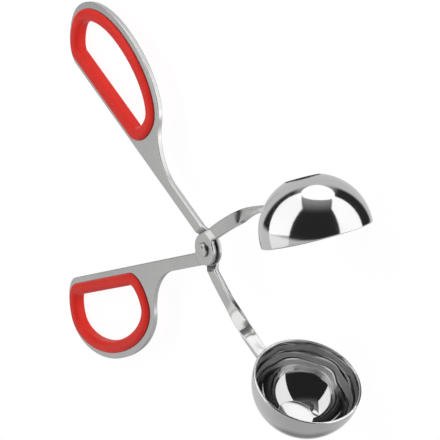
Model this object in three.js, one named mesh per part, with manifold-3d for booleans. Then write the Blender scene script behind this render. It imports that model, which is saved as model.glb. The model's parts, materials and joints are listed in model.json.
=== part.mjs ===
// Meatball tongs: two identical stamped steel arms crossed at a rivet. Each arm has a D shaped finger
// loop with a soft grip snapped into it, and a twisted strap that carries half of a round bowl.
import * as THREE from "three";
import { mergeVertices } from "three/addons/utils/BufferGeometryUtils.js";
import Module from "manifold-3d";

const wasm = await Module();
wasm.setup();

// Driving dimensions, in millimetres and degrees

// Fits and pose
const fitGap = 0.3; // clearance that neighbouring pieces keep
const openAngle = 46.5; // angle between the two rims in the stored pose

// Steel strip that the arms are stamped from
const stripThickness = 2.3;
const stripEdgeRadius = 0.6;

// Handle, measured along it from the pivot and outward from its straight inner edge
const handleSplay = 2.6; // angle of the handle to the rim plane
const handleReach = 134.2; // pivot to the far end of the loop
const innerEdgeOffset = 0.5; // straight inner edge to the line through the pivot
const shankWidth = 5.8;
const neckFilletRadius = 23.5; // hollow curve from the shank to the loop

// Finger loop, a straight inner side closed by four quarter ellipses
const loopLength = 80;
const loopWidth = 41.6;
const loopBandWidth = 6; // steel left around the hole
const bellyFromNearEnd = 42.2; // where the loop is widest
const nearCornerLength = 14.6;
const nearCornerDepth = 19.2;
const farCornerLength = 12.6;
const farCornerDepth = 18.5;

// Pivot ear and rivet
const earRadius = 6.9;
const joggleLength = 2.6; // run of the round step that sets the ear out of the strip's plane
const joggleMargin = 0.4; // flat left between the ear and that step
const rivetDiameter = 4;
const rivetHeadDiameter = 6.2;
const rivetHeadHeight = 1.3;
const rivetHeadEdge = 0.5; // upright edge below the domed top
const rivetDimpleDiameter = 2.2;
const rivetDimpleDepth = 0.45;

// Strap from the ear to the bowl
const strapWidth = 5.7;
const strapRootHeight = 4; // centre line above the pivot at the ear
const strapHeight = 13.4; // centre line above the rim plane beside the bowl
const strapElbow = 27.4; // pivot to where the two straight runs would meet
const strapTwist = 86; // quarter turn, less its springback
const strapTwistStart = 21;
const strapTwistEnd = 47;
const strapBendRadius = 7;
const strapEndLatitude = 54; // top of the tab on the bowl, in degrees from the bowl's equator
const strapTabThickness = 1.7; // pressed thinner where it lies on the bowl
const strapTipWidth = 2; // left square at the rounded tip

// Bowl
const bowlDistance = 77.6; // pivot to the bowl's axis
const bowlRadius = 22;
const bowlWall = 1;
const bowlSkirt = 1.9; // straight band between the rim and the dome
const bowlPoleFlat = 14.5; // diameter of the flat on top of the dome
const bowlRimRadius = 0.35;

// Grip, a ring with a groove that the loop's inner edge sits in
const gripInset = 2.8; // steel showing outside the grip
const gripWidth = 5.8;
const gripDepth = 6.6;
const gripLipRadius = 1.8;
const gripBoreRadius = 2.2;

// Smoothness
const quarterSteps = 10;
const edgeSteps = 2;
const gripSteps = 3;
const turnSteps = 40;
const domeSteps = 11;
const crownSteps = 4;
const joggleSteps = 13;
const runSteps = 26;
const tabSteps = 8;

const steel = { color: 0xb8b8b6, roughness: 0.38, metalness: 1 };
const polishedSteel = { color: 0xd6d6d6, roughness: 0.08, metalness: 1 };
const redRubber = { color: 0xd8322b, roughness: 0.5, metalness: 0 };

const radians = THREE.MathUtils.degToRad;
const smooth = THREE.MathUtils.smoothstep;
const point2 = (x, y) => new THREE.Vector2(x, y);

// Solids and meshes

function toSolid(geometry) {
  const bare = geometry.clone();
  bare.deleteAttribute("normal");
  bare.deleteAttribute("uv");
  const merged = mergeVertices(bare);
  const mesh = new wasm.Mesh({
    numProp: 3,
    vertProperties: new Float32Array(merged.attributes.position.array),
    triVerts: new Uint32Array(merged.index.array),
  });
  mesh.merge();
  return new wasm.Manifold(mesh);
}

function toGeometry(solid) {
  const { vertProperties, triVerts } = solid.getMesh();
  const geometry = new THREE.BufferGeometry();
  geometry.setAttribute("position", new THREE.BufferAttribute(vertProperties, 3));
  geometry.setIndex(new THREE.BufferAttribute(triVerts, 1));
  geometry.computeVertexNormals();
  return geometry;
}

function named(name, geometry, look) {
  const mesh = new THREE.Mesh(geometry, new THREE.MeshStandardMaterial(look));
  mesh.name = name;
  return mesh;
}

// Skin over a row of rings with equal point counts: a tube with flat ends, or a closed ring
function skin(rings, closed) {
  const count = rings[0].length;
  const positions = rings.flat().flatMap((point) => point.toArray());
  const index = [];
  const spans = closed ? rings.length : rings.length - 1;
  for (let ring = 0; ring < spans; ring += 1) {
    const here = ring * count;
    const there = ((ring + 1) % rings.length) * count;
    for (let i = 0; i < count; i += 1) {
      const j = (i + 1) % count;
      index.push(here + i, here + j, there + j, here + i, there + j, there + i);
    }
  }
  if (!closed) {
    const last = (rings.length - 1) * count;
    for (let i = 1; i < count - 1; i += 1) {
      index.push(0, i + 1, i, last, last + i, last + i + 1);
    }
  }
  const geometry = new THREE.BufferGeometry();
  geometry.setAttribute("position", new THREE.Float32BufferAttribute(positions, 3));
  geometry.setIndex(index);
  return geometry;
}

// Rounded rectangle, first coordinate across the width and second through the thickness
function stripSection(width, thickness) {
  const radius = Math.min(stripEdgeRadius, 0.45 * thickness);
  const points = [];
  const corners = [[1, 1], [-1, 1], [-1, -1], [1, -1]];
  corners.forEach(([sideX, sideY], corner) => {
    const centre = point2(sideX * (width / 2 - radius), sideY * (thickness / 2 - radius));
    for (let step = 0; step <= edgeSteps; step += 1) {
      const angle = ((corner + step / edgeSteps) * Math.PI) / 2;
      points.push(centre.clone().add(point2(Math.cos(angle), Math.sin(angle)).multiplyScalar(radius)));
    }
  });
  return points;
}

// Flat sheet of the strip's thickness, edges rounded, lying from height low upward
function sheet(shape, low) {
  const geometry = new THREE.ExtrudeGeometry(shape, {
    depth: stripThickness - 2 * stripEdgeRadius,
    bevelThickness: stripEdgeRadius,
    bevelSize: stripEdgeRadius,
    bevelOffset: -stripEdgeRadius,
    bevelSegments: edgeSteps,
    steps: 1,
  });
  return geometry.translate(0, 0, low + stripEdgeRadius);
}

// Finger loop outline, in handle coordinates: x away from the pivot, y outward from the pivot line

const loopNear = handleReach - loopLength;
const belly = loopNear + bellyFromNearEnd;
const loopOuter = innerEdgeOffset + loopWidth;
const farCornerHeight = innerEdgeOffset + farCornerDepth;
const nearCornerHeight = innerEdgeOffset + nearCornerDepth;

// Quarter ellipses in order from the straight side's far end round to its near end, from straight down
const loopQuarters = [
  {
    centre: point2(handleReach - farCornerLength, farCornerHeight),
    size: point2(farCornerLength, farCornerDepth),
  },
  {
    centre: point2(belly, farCornerHeight),
    size: point2(handleReach - belly, loopOuter - farCornerHeight),
  },
  {
    centre: point2(belly, nearCornerHeight),
    size: point2(bellyFromNearEnd, loopOuter - nearCornerHeight),
  },
  {
    centre: point2(loopNear + nearCornerLength, nearCornerHeight),
    size: point2(nearCornerLength, nearCornerDepth),
  },
];
const nearOuter = loopQuarters.length - 2; // the quarter that the neck runs into

// Point on one quarter of the loop, moved inward square to the outline
function loopPoint(quarter, share, inward) {
  const { centre, size } = loopQuarters[quarter];
  const angle = (quarter - 1 + share) * (Math.PI / 2);
  const round = point2(Math.cos(angle), Math.sin(angle));
  const normal = point2(round.x / size.x, round.y / size.y).normalize();
  return round.multiply(size).add(centre).addScaledVector(normal, -inward);
}

function loopOutline(inward) {
  const points = [];
  loopQuarters.forEach((_, quarter) => {
    for (let step = 0; step < quarterSteps; step += 1) {
      points.push(loopPoint(quarter, step / quarterSteps, inward));
    }
    const meetsStraightSide = quarter === loopQuarters.length - 1;
    if (meetsStraightSide) {
      points.push(loopPoint(quarter, 1, inward));
    }
  });
  return points;
}

// Hollow curve between the shank's outer edge and the loop, tangent to both
function neckFillet() {
  const shankOuter = innerEdgeOffset + shankWidth;
  const closest = (centre) => {
    let best = { gap: Infinity };
    const samples = 400;
    for (let i = 0; i <= samples; i += 1) {
      const share = i / samples;
      const gap = loopPoint(nearOuter, share, 0).distanceTo(centre);
      if (gap < best.gap) {
        best = { gap, share };
      }
    }
    return best;
  };
  const centre = point2(0, shankOuter + neckFilletRadius);
  let low = loopNear - 2 * neckFilletRadius;
  let high = loopNear;
  for (let round = 0; round < 40; round += 1) {
    centre.x = (low + high) / 2;
    if (closest(centre).gap > neckFilletRadius) {
      low = centre.x;
    } else {
      high = centre.x;
    }
  }
  return { centre, share: closest(centre).share };
}

// Arm, in its own frame: pivot axis along Z, bowl toward +X, handle toward -X and -Y

const earLift = (stripThickness + fitGap) / 2;
const joggleStart = earRadius + joggleMargin;
const joggleEnd = joggleStart + joggleLength;
function joggled(point) {
  const distance = Math.hypot(point.x, point.y);
  point.z += earLift * (1 - smooth(distance, joggleStart, joggleEnd));
  return point;
}

const toArm = (geometry) => geometry.rotateZ(Math.PI + radians(handleSplay));

function handlePlate() {
  const fillet = neckFillet();
  const shankOuter = innerEdgeOffset + shankWidth;
  const points = [point2(joggleEnd, innerEdgeOffset)];
  for (let quarter = 0; quarter <= nearOuter; quarter += 1) {
    const end = quarter === nearOuter ? fillet.share : 1;
    for (let step = 0; step < quarterSteps; step += 1) {
      points.push(loopPoint(quarter, (end * step) / quarterSteps, 0));
    }
  }
  const meet = loopPoint(nearOuter, fillet.share, 0).sub(fillet.centre).angle();
  const level = 1.5 * Math.PI;
  for (let step = 0; step <= quarterSteps; step += 1) {
    const angle = THREE.MathUtils.lerp(meet, level, step / quarterSteps);
    const round = point2(Math.cos(angle), Math.sin(angle)).multiplyScalar(neckFilletRadius);
    points.push(round.add(fillet.centre));
  }
  points.push(point2(joggleEnd, shankOuter));
  const shape = new THREE.Shape(points);
  shape.holes.push(new THREE.Path(loopOutline(loopBandWidth)));
  return toArm(sheet(shape, -stripThickness / 2));
}

// Straight shank from the plate to the ear, set out of plane by the joggle
function shankStrip() {
  const middle = innerEdgeOffset + shankWidth / 2;
  const section = stripSection(shankWidth, stripThickness);
  const insidePlate = joggleEnd + stripThickness;
  const halfEar = earRadius / 2;
  const stations = [insidePlate];
  for (let step = 0; step <= joggleSteps; step += 1) {
    stations.push(THREE.MathUtils.lerp(joggleEnd, halfEar, step / joggleSteps));
  }
  stations.push(0);
  const rings = stations.map((along) =>
    section.map((p) => joggled(new THREE.Vector3(along, middle - p.x, p.y))),
  );
  return toArm(skin(rings, false));
}

function earDisc() {
  const shape = new THREE.Shape().absarc(0, 0, earRadius, 0, 2 * Math.PI);
  return sheet(new THREE.Shape(shape.getPoints(turnSteps / 2)), earLift - stripThickness / 2);
}

// Centre line of the strap: out of the ear, along beside the rim, up and over the dome
function strapPath() {
  const domeCentre = point2(bowlDistance, bowlSkirt);
  const wrapRadius = bowlRadius + fitGap + stripThickness / 2;
  const bendHeight = strapHeight + strapBendRadius;
  const reach = wrapRadius + strapBendRadius;
  const bendAt = bowlDistance - Math.sqrt(reach ** 2 - (bendHeight - bowlSkirt) ** 2);
  const bendCentre = point2(bendAt, bendHeight);
  const rise = Math.PI - bendCentre.clone().sub(domeCentre).angle();
  const path = new THREE.CurvePath();
  path.add(
    new THREE.QuadraticBezierCurve(
      point2(0, strapRootHeight),
      point2(strapElbow, strapHeight),
      point2(bendAt, strapHeight),
    ),
  );
  path.add(
    new THREE.EllipseCurve(
      bendAt, bendHeight, strapBendRadius, strapBendRadius, -Math.PI / 2, -rise, false,
    ),
  );
  path.add(
    new THREE.EllipseCurve(
      domeCentre.x, domeCentre.y, wrapRadius, wrapRadius,
      Math.PI - rise, Math.PI - radians(strapEndLatitude), true,
    ),
  );
  return path;
}

function strap() {
  const path = strapPath();
  const lengths = path.getCurveLengths();
  const wrapStart = lengths[1];
  const total = lengths[2];
  const pastJoggle = joggleEnd + stripThickness;
  const stations = [];
  for (let step = 0; step < joggleSteps; step += 1) {
    stations.push((pastJoggle * step) / joggleSteps);
  }
  for (let step = 0; step <= runSteps; step += 1) {
    stations.push(THREE.MathUtils.lerp(pastJoggle, wrapStart, step / runSteps));
  }
  for (let step = 1; step <= tabSteps; step += 1) {
    stations.push(wrapStart + ((total - wrapStart) * Math.sin((step / tabSteps) * (Math.PI / 2))));
  }
  const tipRadius = strapWidth / 2;
  const rings = stations.map((along) => {
    const share = along / total;
    const at = path.getPoint(share);
    const tangent = path.getTangent(share);
    const side = new THREE.Vector3(-tangent.y, tangent.x, 0);
    const turn = radians(strapTwist) * smooth(at.x, strapTwistStart, strapTwistEnd);
    const up = new THREE.Vector3(0, 0, 1);
    const across = side.clone().multiplyScalar(Math.cos(turn)).addScaledVector(up, -Math.sin(turn));
    const through = up.clone().multiplyScalar(Math.cos(turn)).addScaledVector(side, Math.sin(turn));
    const intoTip = 1 - Math.min(total - along, tipRadius) / tipRadius;
    const width = Math.max(strapWidth * Math.sqrt(1 - intoTip ** 2), strapTipWidth);
    const thickness = THREE.MathUtils.lerp(
      stripThickness, strapTabThickness, smooth(along, wrapStart, total),
    );
    const seat = (thickness - stripThickness) / 2;
    const centre = new THREE.Vector3(at.x, at.y, 0).addScaledVector(through, seat);
    return stripSection(width, thickness).map((p) =>
      joggled(centre.clone().addScaledVector(across, p.x).addScaledVector(through, p.y)),
    );
  });
  return skin(rings, false);
}

function arm() {
  const holeRadius = rivetDiameter / 2 + fitGap;
  const drill = new THREE.CylinderGeometry(holeRadius, holeRadius, 4 * stripThickness, turnSteps / 2);
  drill.rotateX(Math.PI / 2);
  const solid = toSolid(handlePlate())
    .add(toSolid(shankStrip()))
    .add(toSolid(earDisc()))
    .add(toSolid(strap()))
    .subtract(toSolid(drill));
  return toGeometry(solid);
}

// Bowl, a drawn cup on its own axis: rim at the bottom, flat pole on top
function bowl() {
  const innerRadius = bowlRadius - bowlWall;
  const poleRadius = bowlPoleFlat / 2;
  const poleAngle = Math.acos(poleRadius / bowlRadius);
  const innerPoleAngle = Math.acos(poleRadius / innerRadius);
  const rimHeight = fitGap / 2;
  const points = [];
  const poleHeight = bowlSkirt + bowlRadius * Math.sin(poleAngle);
  const innerPoleHeight = bowlSkirt + innerRadius * Math.sin(innerPoleAngle);
  const rimMiddle = bowlRadius - bowlWall / 2;
  points.push(point2(0, innerPoleHeight));
  for (let step = 0; step <= domeSteps; step += 1) {
    const angle = innerPoleAngle * (1 - step / domeSteps);
    points.push(point2(innerRadius * Math.cos(angle), bowlSkirt + innerRadius * Math.sin(angle)));
  }
  points.push(point2(innerRadius, rimHeight + bowlRimRadius));
  points.push(point2(rimMiddle - bowlWall / 4, rimHeight));
  points.push(point2(rimMiddle + bowlWall / 4, rimHeight));
  points.push(point2(bowlRadius, rimHeight + bowlRimRadius));
  for (let step = 0; step <= domeSteps; step += 1) {
    const angle = (poleAngle * step) / domeSteps;
    points.push(point2(bowlRadius * Math.cos(angle), bowlSkirt + bowlRadius * Math.sin(angle)));
  }
  points.push(point2(0, poleHeight));
  return toGeometry(toSolid(new THREE.LatheGeometry(points, turnSteps)));
}

// Grip section: first coordinate inward from the loop's outline, second through its depth
function gripSection() {
  const slot = stripThickness / 2 + fitGap;
  const slotBottom = loopBandWidth + fitGap;
  const bore = gripInset + gripWidth;
  const top = gripDepth / 2;
  const lipRadius = Math.min(gripLipRadius, top - slot, 0.4 * gripWidth); // both rounds fit the section
  const boreRadius = Math.min(gripBoreRadius, top, 0.5 * gripWidth);
  const half = [point2(slotBottom, slot), point2(gripInset + lipRadius / 2, slot)];
  const lip = point2(gripInset + lipRadius, top - lipRadius);
  for (let step = 0; step <= gripSteps; step += 1) {
    const angle = Math.PI - (step / gripSteps) * (Math.PI / 2);
    half.push(lip.clone().add(point2(Math.cos(angle), Math.sin(angle)).multiplyScalar(lipRadius)));
  }
  const round = point2(bore - boreRadius, top - boreRadius);
  for (let step = 0; step <= gripSteps; step += 1) {
    const angle = (1 - step / gripSteps) * (Math.PI / 2);
    half.push(round.clone().add(point2(Math.cos(angle), Math.sin(angle)).multiplyScalar(boreRadius)));
  }
  const mirrored = half.map((p) => point2(p.x, -p.y));
  return [...mirrored, ...half.reverse()];
}

function grip() {
  const section = gripSection();
  const tracks = section.map((p) => loopOutline(p.x));
  const rings = tracks[0].map((_, station) =>
    section.map((p, i) => new THREE.Vector3(tracks[i][station].x, tracks[i][station].y, p.y)),
  );
  return toGeometry(toSolid(toArm(skin(rings, true))));
}

// Rivet: round shank, two low domed heads, a dimple left by the punch in the front one
function rivet() {
  const shankRadius = rivetDiameter / 2;
  const headRadius = rivetHeadDiameter / 2;
  const dimpleRadius = rivetDimpleDiameter / 2;
  const seat = stripThickness + fitGap / 2 + fitGap;
  const top = seat + rivetHeadHeight;
  const crown = (radius) => top - (rivetHeadHeight - rivetHeadEdge) * (radius / headRadius) ** 2;
  const points = [];
  for (let step = 0; step <= crownSteps; step += 1) {
    const radius = (headRadius * step) / crownSteps;
    points.push(point2(radius, -crown(radius)));
  }
  points.push(point2(headRadius, -seat), point2(shankRadius, -seat));
  points.push(point2(shankRadius, seat), point2(headRadius, seat));
  for (let step = 0; step < crownSteps; step += 1) {
    const radius = THREE.MathUtils.lerp(headRadius, dimpleRadius, step / crownSteps);
    points.push(point2(radius, crown(radius)));
  }
  for (let step = 0; step <= crownSteps; step += 1) {
    const inward = step / crownSteps;
    const depth = rivetDimpleDepth * (1 - (1 - inward) ** 2);
    points.push(point2(dimpleRadius * (1 - inward), crown(dimpleRadius) - depth));
  }
  const geometry = new THREE.LatheGeometry(points, turnSteps / 2).rotateX(Math.PI / 2);
  return toGeometry(toSolid(geometry));
}

// One arm with its bowl and grip
function armGroup(armName, bowlName, gripName) {
  const group = new THREE.Group();
  group.add(named(armName, arm(), steel));
  const cup = named(bowlName, bowl(), polishedSteel);
  cup.position.set(bowlDistance, 0, 0);
  cup.rotation.x = radians(90 - strapTwist);
  group.add(cup);
  group.add(named(gripName, grip(), redRubber));
  return group;
}

const front = armGroup("front_arm", "upper_bowl", "lower_grip");
front.add(named("pivot_rivet", rivet(), steel));
front.rotation.z = radians(openAngle / 2);

// The rear arm is the same stamping turned over about its length
const turnedOver = armGroup("rear_arm", "lower_bowl", "upper_grip");
turnedOver.rotation.x = Math.PI;
const rear = new THREE.Group();
rear.add(turnedOver);
rear.rotation.z = radians(-openAngle / 2);

// Lowest point of the named pieces when the tongs are tipped by an angle about Y
function lowest(names, tip) {
  const point = new THREE.Vector3();
  const axis = new THREE.Vector3(0, 1, 0);
  let low = Infinity;
  names.forEach((name) => {
    const mesh = tongs.getObjectByName(name);
    const positions = mesh.geometry.attributes.position;
    for (let i = 0; i < positions.count; i += 1) {
      point.fromBufferAttribute(positions, i).applyMatrix4(mesh.matrixWorld);
      low = Math.min(low, point.applyAxisAngle(axis, tip).z);
    }
  });
  return low;
}

// The tongs lie on a table: both bowls and both handle ends touch it
const tongs = new THREE.Group();
tongs.add(front, rear);
tongs.updateMatrixWorld(true);
const bowlEnds = ["upper_bowl", "lower_bowl"];
const handleEnds = ["lower_grip", "upper_grip", "front_arm", "rear_arm"];
let level = 0;
let steep = Math.PI / 4;
for (let round = 0; round < 30; round += 1) {
  const tip = (level + steep) / 2;
  if (lowest(bowlEnds, -tip) < lowest(handleEnds, -tip)) {
    level = tip;
  } else {
    steep = tip;
  }
}
tongs.rotation.y = -level;

// Origin on the table under the middle of the tongs
const part = new THREE.Group();
part.add(tongs);
part.updateMatrixWorld(true);
const box = new THREE.Box3().setFromObject(part, true);
const middle = box.getCenter(new THREE.Vector3());
tongs.position.set(-middle.x, -middle.y, -box.min.z);
part.updateMatrixWorld(true);

export default part;
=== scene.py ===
import json
import math

import bmesh
import bpy
from mathutils import Euler, Matrix, Vector
from mathutils.geometry import delaunay_2d_cdt


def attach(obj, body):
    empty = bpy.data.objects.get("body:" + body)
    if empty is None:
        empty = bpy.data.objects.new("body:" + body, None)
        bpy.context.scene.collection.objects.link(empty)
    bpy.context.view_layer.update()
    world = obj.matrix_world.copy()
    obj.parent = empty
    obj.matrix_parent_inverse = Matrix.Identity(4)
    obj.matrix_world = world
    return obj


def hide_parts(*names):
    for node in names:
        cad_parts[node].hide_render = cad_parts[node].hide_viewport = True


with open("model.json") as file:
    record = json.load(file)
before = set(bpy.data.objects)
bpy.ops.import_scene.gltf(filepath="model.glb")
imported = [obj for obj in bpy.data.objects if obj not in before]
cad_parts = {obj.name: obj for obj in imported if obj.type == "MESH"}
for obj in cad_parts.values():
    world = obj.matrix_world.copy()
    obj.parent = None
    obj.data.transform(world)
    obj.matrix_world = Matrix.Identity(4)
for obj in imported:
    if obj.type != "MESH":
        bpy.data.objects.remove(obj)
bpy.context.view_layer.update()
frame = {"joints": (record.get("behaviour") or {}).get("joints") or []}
print("stage: frame loaded")

scene = bpy.context.scene
scene.view_settings.view_transform = "Standard"

# How the tongs lie: the hinge gives the pivot and the way the strip faces
openAngle = 46.5  # degrees between the rims
millimetre = 0.001
hinge = frame["joints"][0]
faceAxis = Vector(hinge["axis"]).normalized()
sideAxis = Vector((0, 1, 0))
lengthAxis = sideAxis.cross(faceAxis).normalized()
layTurn = Matrix((lengthAxis, sideAxis, faceAxis)).transposed().to_4x4()
lay = Matrix.Translation(hinge["pos_m"]) @ layTurn @ Matrix.Scale(millimetre, 4)
halfOpen = math.radians(openAngle / 2)
frontPlace = lay @ Matrix.Rotation(halfOpen, 4, "Z")
rearPlace = lay @ Matrix.Rotation(-halfOpen, 4, "Z") @ Matrix.Rotation(math.pi, 4, "X")


def addNode(tree, kind, inputs=None, **settings):
    node = tree.nodes.new(kind)
    for name, value in settings.items():
        setattr(node, name, value)
    for key, value in (inputs or {}).items():
        if isinstance(value, bpy.types.NodeSocket):
            tree.links.new(value, node.inputs[key])
        else:
            node.inputs[key].default_value = value
    return node


def calc(tree, operation, first, second=0.0):
    return addNode(tree, "ShaderNodeMath", {0: first, 1: second}, operation=operation).outputs[0]


def noise(tree, place, scale, detail=1.0):
    inputs = {"Vector": place, "Scale": scale, "Detail": detail}
    return addNode(tree, "ShaderNodeTexNoise", inputs).outputs["Fac"]


def readLayer(tree, name):
    return addNode(tree, "ShaderNodeAttribute", attribute_name=name).outputs["Fac"]


def smoothStep(value, low, high):
    share = min(max((value - low) / (high - low), 0.0), 1.0)
    return share * share * (3 - 2 * share)


def spread(low, high, count):
    return [low + (high - low) * step / count for step in range(count + 1)]


# Camera, at the photograph's viewing angle

cameraView = {
    "place": (0.481394, 0.253850, 0.426936),
    "turn": (-18.6695, 49.0786, 3.1835),  # degrees
    "lens": 130.909,
    "sensor": 36.0,
}

cameraTurn = Euler([math.radians(angle) for angle in cameraView["turn"]])
cameraData = bpy.data.cameras.new("camera")
cameraData.lens = cameraView["lens"]
cameraData.sensor_width = cameraView["sensor"]
camera = bpy.data.objects.new("camera", cameraData)
camera.location = cameraView["place"]
camera.rotation_euler = cameraTurn
scene.collection.objects.link(camera)
scene.camera = camera
viewAxes = cameraTurn.to_matrix()  # columns: right, up, toward the camera


# Studio: two tall softboxes, the left one dimmer at its foot, a round one overhead and a hidden fill,
# in a dark room with a pale sweep behind and below

studio = {
    "focus": (0.075, 0.02, 0.022),  # the point the boxes are set round
    "distance": 0.9,  # metres to one unit of the boxes' places and sizes
    "gloom": 0.026,  # of the dark room
    "paleLow": 0.50, "pale": 0.68, "paleHeight": (-1.0, -0.2),  # the sweep straight below, and behind
    "sweepTilt": 0.256, "sweepEdge": (-0.17, -0.05),  # the table's edge rises away from the camera
    # Where the room gives way to the backdrop
    "sweepLean": -0.6, "sweepSkew": 0.06, "sweepDepth": (-0.87, -0.76),
    # Shade under the bowls
    "shade": 0.55, "shadeHeight": (-0.35, -0.6), "shadeDepth": (-0.4, -0.75), "shadeSide": (0.15, 0.45),
    # Ceiling in front of the overhead box
    "glow": 0.33, "glowHeight": (0.56, 0.95), "glowSide": (0.34, 0.52),
}

# Centre, facing and upright are in the view's right, up and toward axes
leftFrame = {
    "facing": (-0.938, 0.269, -0.217), "upright": (0.223, 0.952, 0.209), "width": 1.26, "shape": "RECTANGLE",
}
softboxes = {
    "leftBox": {**leftFrame, "centre": (-0.967, 0.708, 0.451), "height": 1.763, "brightness": 1.38},
    "leftBoxFoot": {**leftFrame, "centre": (-1.23, -0.411, 0.206), "height": 0.588, "brightness": 0.4},
    "rightBox": {
        "centre": (1.113, 0.813, 0.712), "facing": (0.988, 0.017, -0.156), "upright": (0.022, 0.966, 0.258),
        "width": 1.40, "height": 2.68, "shape": "RECTANGLE", "brightness": 1.38,
    },
    "overBox": {
        "centre": (0.066, 1.012, 0.115), "facing": (0.018, 0.977, 0.214), "upright": (0.0, 0.2, -0.97),
        "width": 0.93, "height": 0.72, "shape": "ELLIPSE", "brightness": 1.38,
    },
    "frontFill": {
        "centre": (0.35, 0.40, 1.20), "facing": (0.25, 0.28, 1.0), "upright": (0.0, 1.0, 0.0),
        "width": 1.2, "height": 1.2, "shape": "RECTANGLE", "brightness": 1.7, "hidden": True,
    },
}


def addSoftbox(name, box):
    outward = Vector(box["facing"]).normalized()
    upright = Vector(box["upright"])
    upright = (upright - outward * upright.dot(outward)).normalized()
    turn = viewAxes @ Matrix((upright.cross(outward), upright, outward)).transposed()
    lamp = bpy.data.lights.new(name, "AREA")
    lamp.shape = box["shape"]
    lamp.size = box["width"] * studio["distance"]
    lamp.size_y = box["height"] * studio["distance"]
    area = lamp.size * lamp.size_y * (math.pi / 4 if box["shape"] == "ELLIPSE" else 1.0)
    lamp.energy = box["brightness"] * math.pi * area
    holder = bpy.data.objects.new(name, lamp)
    place = Vector(studio["focus"]) + viewAxes @ Vector(box["centre"]) * studio["distance"]
    holder.matrix_world = Matrix.Translation(place) @ turn.to_4x4()
    holder.visible_camera = False
    holder.visible_glossy = not box.get("hidden", False)  # the fill lights matt surfaces alone
    scene.collection.objects.link(holder)


for boxName, box in softboxes.items():
    addSoftbox(boxName, box)


def makeRoom():
    world = bpy.data.worlds.new("studioRoom")
    scene.world = world
    world.use_nodes = True
    tree = world.node_tree
    tree.nodes.clear()
    look = addNode(tree, "ShaderNodeTexCoord").outputs["Generated"]

    def along(axis):
        inputs = {0: look, 1: viewAxes.col[axis]}
        return addNode(tree, "ShaderNodeVectorMath", inputs, operation="DOT_PRODUCT").outputs["Value"]

    def ramp(value, limits, low=0.0, high=1.0):
        inputs = {"Value": value, "From Min": limits[0], "From Max": limits[1], "To Min": low, "To Max": high}
        return addNode(tree, "ShaderNodeMapRange", inputs, interpolation_type="SMOOTHSTEP").outputs[0]

    def blend(share, first, second):
        inputs = {"Factor": share, "A": first, "B": second}
        return addNode(tree, "ShaderNodeMix", inputs, data_type="FLOAT").outputs["Result"]

    sideways, height, depth = along(0), along(1), along(2)
    tilted = calc(tree, "ADD", height, calc(tree, "MULTIPLY", depth, studio["sweepTilt"]))
    leaning = calc(tree, "ADD", depth, calc(tree, "MULTIPLY", height, studio["sweepLean"]))
    leaning = calc(tree, "ADD", leaning, calc(tree, "MULTIPLY", sideways, studio["sweepSkew"]))
    dark = calc(tree, "MULTIPLY", ramp(tilted, studio["sweepEdge"]), ramp(leaning, studio["sweepDepth"]))
    aside = calc(tree, "ABSOLUTE", sideways)
    offMiddle = ramp(aside, studio["glowSide"], 1.0, 0.0)
    ceiling = calc(tree, "MULTIPLY", offMiddle, ramp(height, studio["glowHeight"], 0.0, studio["glow"]))
    inside = calc(tree, "ADD", ceiling, studio["gloom"])
    sweep = ramp(height, studio["paleHeight"], studio["paleLow"], studio["pale"])
    shade = calc(tree, "MULTIPLY", ramp(height, studio["shadeHeight"]), ramp(depth, studio["shadeDepth"]))
    shade = calc(tree, "MULTIPLY", shade, ramp(aside, studio["shadeSide"], studio["shade"], 0.0))
    sweep = calc(tree, "MULTIPLY", sweep, calc(tree, "SUBTRACT", 1.0, shade))
    room = addNode(tree, "ShaderNodeBackground", {"Color": blend(dark, sweep, inside)})
    white = addNode(tree, "ShaderNodeBackground", {"Color": (1, 1, 1, 1), "Strength": 1.0})
    seen = addNode(tree, "ShaderNodeLightPath").outputs["Is Camera Ray"]
    mix = addNode(tree, "ShaderNodeMixShader", {0: seen, 1: room.outputs[0], 2: white.outputs[0]})
    addNode(tree, "ShaderNodeOutputWorld", {"Surface": mix.outputs[0]})


def makeFloor():
    side = 3.0
    glow = 0.94  # with the light that falls on it, the floor comes out white
    bounce = 0.1
    corners = [(-side, -side, 0), (side, -side, 0), (side, side, 0), (-side, side, 0)]
    mesh = bpy.data.meshes.new("floor")
    mesh.from_pydata(corners, [], [(0, 1, 2, 3)])
    floor = bpy.data.objects.new("floor", mesh)
    scene.collection.objects.link(floor)
    material = bpy.data.materials.new("paleFloor")
    material.use_nodes = True
    tree = material.node_tree
    tree.nodes.clear()
    seen = addNode(tree, "ShaderNodeLightPath").outputs["Is Camera Ray"]
    strength = calc(tree, "MULTIPLY", seen, glow)
    light = addNode(tree, "ShaderNodeEmission", {"Color": (1, 1, 1, 1), "Strength": strength})
    matte = addNode(tree, "ShaderNodeBsdfDiffuse", {"Color": (bounce, bounce, bounce, 1)})
    both = addNode(tree, "ShaderNodeAddShader", {0: light.outputs[0], 1: matte.outputs[0]})
    addNode(tree, "ShaderNodeOutputMaterial", {"Surface": both.outputs[0]})
    mesh.materials.append(material)
    # The steel mirrors the studio, not the floor
    floor.visible_glossy = False
    floor.visible_diffuse = False
    floor.visible_shadow = False


makeRoom()
makeFloor()
print("stage: camera, studio and floor set")


# Finishes

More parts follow.
